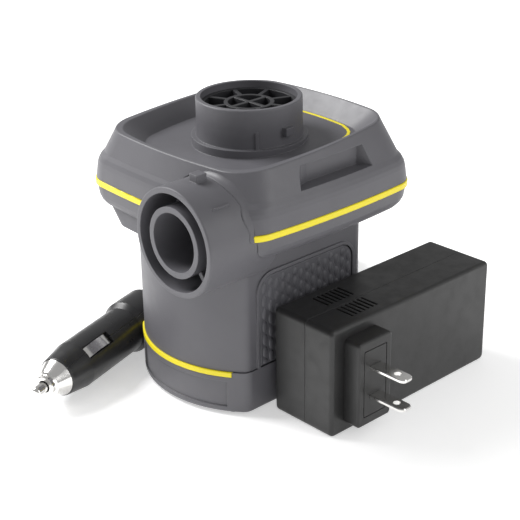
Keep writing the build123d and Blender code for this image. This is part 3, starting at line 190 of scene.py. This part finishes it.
# a yellow line printed along the foot of the dish's back wall
RIM_TILT = math.radians(3)
foot_line = [(x / 1000, (34.9 - 4 * (x / 32) ** 2) / 1000) for x in range(-28, 24, 4)]
foot_line += [(0.0248, 0.0311), (0.0272, 0.0293), (0.0291, 0.0268), (0.0303, 0.0238), (0.0310, 0.0205)]
line_sections = []
for before, here, after in zip(foot_line[:1] + foot_line, foot_line, foot_line[1:] + foot_line[-1:]):
    along = (Vector(after) - Vector(before)).normalized()
    across = Vector((-along.y, along.x)) * 0.00065
    section = []
    for sign, lift in ((-1, -0.0001), (1, -0.0001), (1, 0.00012), (-1, 0.00012)):
        x, y = Vector(here) + sign * across
        section.append((x, y + 0.00036, 0.10291 + y * math.tan(RIM_TILT) + lift))
    line_sections.append(section)
dish_line = piece("dish_line", swept(line_sections), smooth=False)

# the concave fairing where the outlet tube grows out of the head
TUBE_X, TUBE_Z, TUBE_R = 0.0261, 0.0832, 0.0218
walls = []
for name in ("top_cover", "lower_housing", "trim_band"):
    mesh = nodes[name].data
    turn = nodes[name].matrix_world
    walls.append(
        BVHTree.FromPolygons([turn @ v.co for v in mesh.vertices], [p.vertices for p in mesh.polygons])
    )


def wall_at(radius, angle):
    """How far forward the head's wall is, seen along the tube, or None."""
    start = Vector((TUBE_X + radius * math.cos(angle), -0.075, TUBE_Z + radius * math.sin(angle)))
    hits = [tree.ray_cast(start, Vector((0, 1, 0)))[0] for tree in walls]
    reached = [hit.y for hit in hits if hit]
    return min(reached) if reached else None


fairing = []
for step in range(0, 53):
    angle = math.radians(-30 + step * 2.5)
    reach = 0.0012 + 0.0022 * max(0, math.sin(math.pi * step / 52)) ** 0.6
    near, far = wall_at(TUBE_R + 0.0009, angle), wall_at(TUBE_R + reach, angle)
    if near is None or far is None:
        continue
    a = Vector((TUBE_R - 0.0001, near - reach * 1.1))
    b = Vector((TUBE_R + reach, far + 0.0001))
    c = Vector((TUBE_R + 0.0002, near - 0.0001))
    section = [a * (1 - t) ** 2 + c * 2 * t * (1 - t) + b * t * t for t in [i / 6 for i in range(7)]]
    section.append(Vector((TUBE_R + 0.0005, max(near, far) + 0.0012)))
    section.append(Vector((TUBE_R - 0.0006, near + 0.0012)))
    fairing.append(
        [(TUBE_X + r * math.cos(angle), y, TUBE_Z + r * math.sin(angle)) for r, y in section]
    )
tube_fairing = piece("tube_fairing", swept(fairing))

# the thin rib on the outlet tube
rib = []
for y in (-0.0563, -0.0555, -0.0490, -0.0482):
    rise = 0.0001 if y in (-0.0563, -0.0482) else 0.0009
    rib.append([
        (
            TUBE_X + (TUBE_R + lift) * math.cos(angle),
            y,
            TUBE_Z + (TUBE_R + lift) * math.sin(angle),
        )
        for angle, lift in (
            (math.radians(44.6), -0.0006), (math.radians(44.8), rise),
            (math.radians(46.2), rise), (math.radians(46.4), -0.0006),
        )
    ])
tube_rib = piece("tube_rib", swept(rib), smooth=False)


# ---------------------------------------------------------------- materials
def finish(
    slot, colour, rough, metal=0.0, spread=0.10, cloud=60, grain=3200, relief=0.05,
    streak=None, edge_highlight=0.0, bevel_width=0.0005, coat=0.0, specular=0.5, rough_spread=0.08,
):
    """A moulded, painted or metal surface: cloudy colour, fine grain, uneven roughness, painted
    highlights on the edges.
    """
    material = bpy.data.materials.new(slot)
    material.use_nodes = True
    tree = material.node_tree
    make, join = tree.nodes.new, tree.links.new
    shader = tree.nodes["Principled BSDF"]
    shader.inputs["Metallic"].default_value = metal
    shader.inputs["Coat Weight"].default_value = coat
    shader.inputs["Coat Roughness"].default_value = 0.25
    shader.inputs["Specular IOR Level"].default_value = specular
    place = make("ShaderNodeTexCoord")
    stretch = make("ShaderNodeMapping")
    stretch.inputs["Scale"].default_value = streak or (1, 1, 1)
    join(place.outputs["Object"], stretch.inputs["Vector"])

    def noise(scale, detail, source=place.outputs["Object"]):
        node = make("ShaderNodeTexNoise")
        node.inputs["Scale"].default_value = scale
        node.inputs["Detail"].default_value = detail
        join(source, node.inputs["Vector"])
        return node

    clouds = noise(cloud, 4)
    fine = noise(grain, 2, stretch.outputs["Vector"])
    tone = make("ShaderNodeValToRGB")
    tone.color_ramp.elements[0].position = 0.3
    tone.color_ramp.elements[1].position = 0.7
    tone.color_ramp.elements[0].color = (*[c * (1 - spread) for c in colour], 1)
    tone.color_ramp.elements[1].color = (*[min(1, c * (1 + spread)) for c in colour], 1)
    join(clouds.outputs["Fac"], tone.inputs["Fac"])
    last = tone.outputs["Color"]
    # painted highlight: the base colour is lightened along edges that the bevel normal finds, broken up
    # by noise patches; the bevel normal also rounds the shading
    if edge_highlight:
        soft = make("ShaderNodeBevel")
        soft.samples = 4
        soft.inputs["Radius"].default_value = bevel_width
        shape = make("ShaderNodeNewGeometry")
        turned = make("ShaderNodeVectorMath")
        turned.operation = "DOT_PRODUCT"
        join(soft.outputs["Normal"], turned.inputs[0])
        join(shape.outputs["Normal"], turned.inputs[1])
        edge = make("ShaderNodeMapRange")
        edge.inputs["From Min"].default_value = 0.985
        edge.inputs["From Max"].default_value = 0.90
        edge.inputs["To Max"].default_value = edge_highlight
        join(turned.outputs["Value"], edge.inputs["Value"])
        highlight_mask = make("ShaderNodeMath")
        highlight_mask.operation = "MULTIPLY"
        patches = noise(420, 3)
        join(edge.outputs["Result"], highlight_mask.inputs[0])
        join(patches.outputs["Fac"], highlight_mask.inputs[1])
        # the painted highlight colour is a lighter copy of the base colour
        painted_highlight = make("ShaderNodeMix")
        painted_highlight.data_type = "RGBA"
        painted_highlight.inputs["B"].default_value = (*[min(1, c * 1.6 + 0.05) for c in colour], 1)
        join(highlight_mask.outputs["Value"], painted_highlight.inputs["Factor"])
        join(last, painted_highlight.inputs["A"])
        last = painted_highlight.outputs["Result"]
    join(last, shader.inputs["Base Color"])
    uneven = make("ShaderNodeMapRange")
    uneven.inputs["From Min"].default_value = 0.3
    uneven.inputs["From Max"].default_value = 0.7
    uneven.inputs["To Min"].default_value = max(0.03, rough - rough_spread)
    uneven.inputs["To Max"].default_value = rough + rough_spread
    smears = noise(cloud * 3, 5, stretch.outputs["Vector"])
    join(smears.outputs["Fac"], uneven.inputs["Value"])
    join(uneven.outputs["Result"], shader.inputs["Roughness"])
    bump = make("ShaderNodeBump")
    bump.inputs["Strength"].default_value = 1.0
    bump.inputs["Distance"].default_value = relief / 1000
    join(fine.outputs["Fac"], bump.inputs["Height"])
    if edge_highlight:
        join(soft.outputs["Normal"], bump.inputs["Normal"])
    join(bump.outputs["Normal"], shader.inputs["Normal"])
    return material


# each finish's edge value sets how strong the painted highlight on its edges is
M = {
    "housing": finish(
        "housing", (0.108, 0.106, 0.117), 0.46, relief=0.04, grain=2400, edge_highlight=0.5, spread=0.05,
        rough_spread=0.03,
    ),
    "yellow_trim": finish("yellow_trim", (0.86, 0.72, 0.012), 0.35, relief=0.01, spread=0.03, edge_highlight=0.3),
    "grip": finish("grip", (0.085, 0.084, 0.094), 0.5, relief=0.03, grain=2600, spread=0.06),
    "black_plastic": finish("black_plastic", (0.022, 0.022, 0.025), 0.45, relief=0.03, edge_highlight=0.3),
    "rubber": finish("rubber", (0.018, 0.018, 0.019), 0.68, relief=0.04, grain=1800, spread=0.2),
    "fan_plastic": finish("fan_plastic", (0.03, 0.03, 0.033), 0.4, relief=0.02),
    "steel": finish(
        "steel", (0.58, 0.58, 0.58), 0.32, metal=1, streak=(1, 1, 9), relief=0.008, edge_highlight=0.2,
        bevel_width=0.0002,
    ),
    "motor_steel": finish(
        "motor_steel", (0.5, 0.5, 0.49), 0.36, metal=1, streak=(1, 1, 14), relief=0.01,
    ),
    "laminations": finish(
        "laminations", (0.2, 0.17, 0.15), 0.45, metal=0.8, streak=(0.05, 0.05, 2), grain=1600,
        relief=0.06,
    ),
    "copper": finish("copper", (0.72, 0.33, 0.16), 0.3, metal=1, streak=(6, 6, 0.5), relief=0.02),
    "carbon": finish("carbon", (0.03, 0.03, 0.03), 0.6, relief=0.05),
    "brass": finish("brass", (0.7, 0.52, 0.22), 0.3, metal=1, relief=0.01),
    "bronze": finish("bronze", (0.5, 0.32, 0.15), 0.42, metal=1, relief=0.03, grain=2400),
    "magnet": finish("magnet", (0.075, 0.075, 0.08), 0.55, relief=0.05),
    "red_wire": finish("red_wire", (0.5, 0.02, 0.02), 0.35, relief=0.01, spread=0.05),
    "black_wire": finish("black_wire", (0.02, 0.02, 0.021), 0.35, relief=0.01),
    "cord": finish(
        "cord", (0.02, 0.02, 0.021), 0.42, relief=0.03, grain=900, streak=(1, 1, 1), spread=0.15,
    ),
    "tie": finish("tie", (0.028, 0.028, 0.03), 0.4, relief=0.03, grain=1500),
    "plug_plastic": finish(
        "plug_plastic", (0.02, 0.02, 0.021), 0.34, relief=0.02, grain=2600, edge_highlight=0.35,
    ),
    "nickel": finish(
        "nickel", (0.82, 0.81, 0.79), 0.16, metal=1, relief=0.006, grain=900, streak=(1, 1, 6),
        spread=0.04, rough_spread=0.05,
    ),
    "fuse": finish("fuse", (0.75, 0.75, 0.72), 0.2, metal=1, relief=0.004),
    "adapter_plastic": finish(
        "adapter_plastic", (0.021, 0.021, 0.021), 0.4, relief=0.03, grain=2600, edge_highlight=0.4,
        spread=0.08,
    ),
    "board": finish("board", (0.03, 0.16, 0.06), 0.35, relief=0.02),
    "transformer": finish("transformer", (0.55, 0.42, 0.08), 0.4, relief=0.02),
    "socket_steel": finish("socket_steel", (0.55, 0.55, 0.54), 0.3, metal=1, relief=0.01),
}
for part in frame["record"]["subparts"]:
    node = nodes[part["node"]]
    node.data.materials.clear()
    node.data.materials.append(M[part["material_slot"]])
cord.data.materials.append(M["cord"])
for name in ("grip_relief_right", "grip_relief_left"):
    bpy.data.objects[name].data.materials.append(M["grip"])
dish_line.data.materials.append(M["yellow_trim"])
tube_fairing.data.materials.append(M["housing"])
tube_rib.data.materials.append(M["housing"])

# ---------------------------------------------------------------- floor and light
bpy.ops.mesh.primitive_plane_add(size=6)
floor = bpy.context.object
floor.name = "floor"
pale = bpy.data.materials.new("floor")
pale.use_nodes = True
pale.node_tree.nodes["Principled BSDF"].inputs["Base Color"].default_value = (0.92, 0.92, 0.92, 1)
pale.node_tree.nodes["Principled BSDF"].inputs["Roughness"].default_value = 0.6
pale.node_tree.nodes["Principled BSDF"].inputs["Emission Color"].default_value = (1, 1, 1, 1)
pale.node_tree.nodes["Principled BSDF"].inputs["Emission Strength"].default_value = 0.45
floor.data.materials.append(pale)
floor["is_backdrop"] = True

world = bpy.data.worlds.new("studio")
bpy.context.scene.world = world
world.use_nodes = True
world.node_tree.nodes["Background"].inputs["Color"].default_value = (1, 1, 1, 1)
world.node_tree.nodes["Background"].inputs["Strength"].default_value = 0.4


def softbox(name, place, aim, power, width, height):
    light = bpy.data.lights.new(name, "AREA")
    light.shape = "RECTANGLE"
    light.size = width
    light.size_y = height
    light.energy = power
    lamp = bpy.data.objects.new(name, light)
    bpy.context.scene.collection.objects.link(lamp)
    lamp.location = place
    lamp.rotation_euler = (Vector(aim) - Vector(place)).to_track_quat("-Z", "Y").to_euler()


softbox("key", (-0.95, -0.45, 1.0), (0, 0, 0.05), 26, 0.7, 0.7)
softbox("side", (1.1, 0.45, 0.7), (0.03, 0, 0.05), 5, 0.5, 0.8)

# ---------------------------------------------------------------- size and finish
low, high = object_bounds()
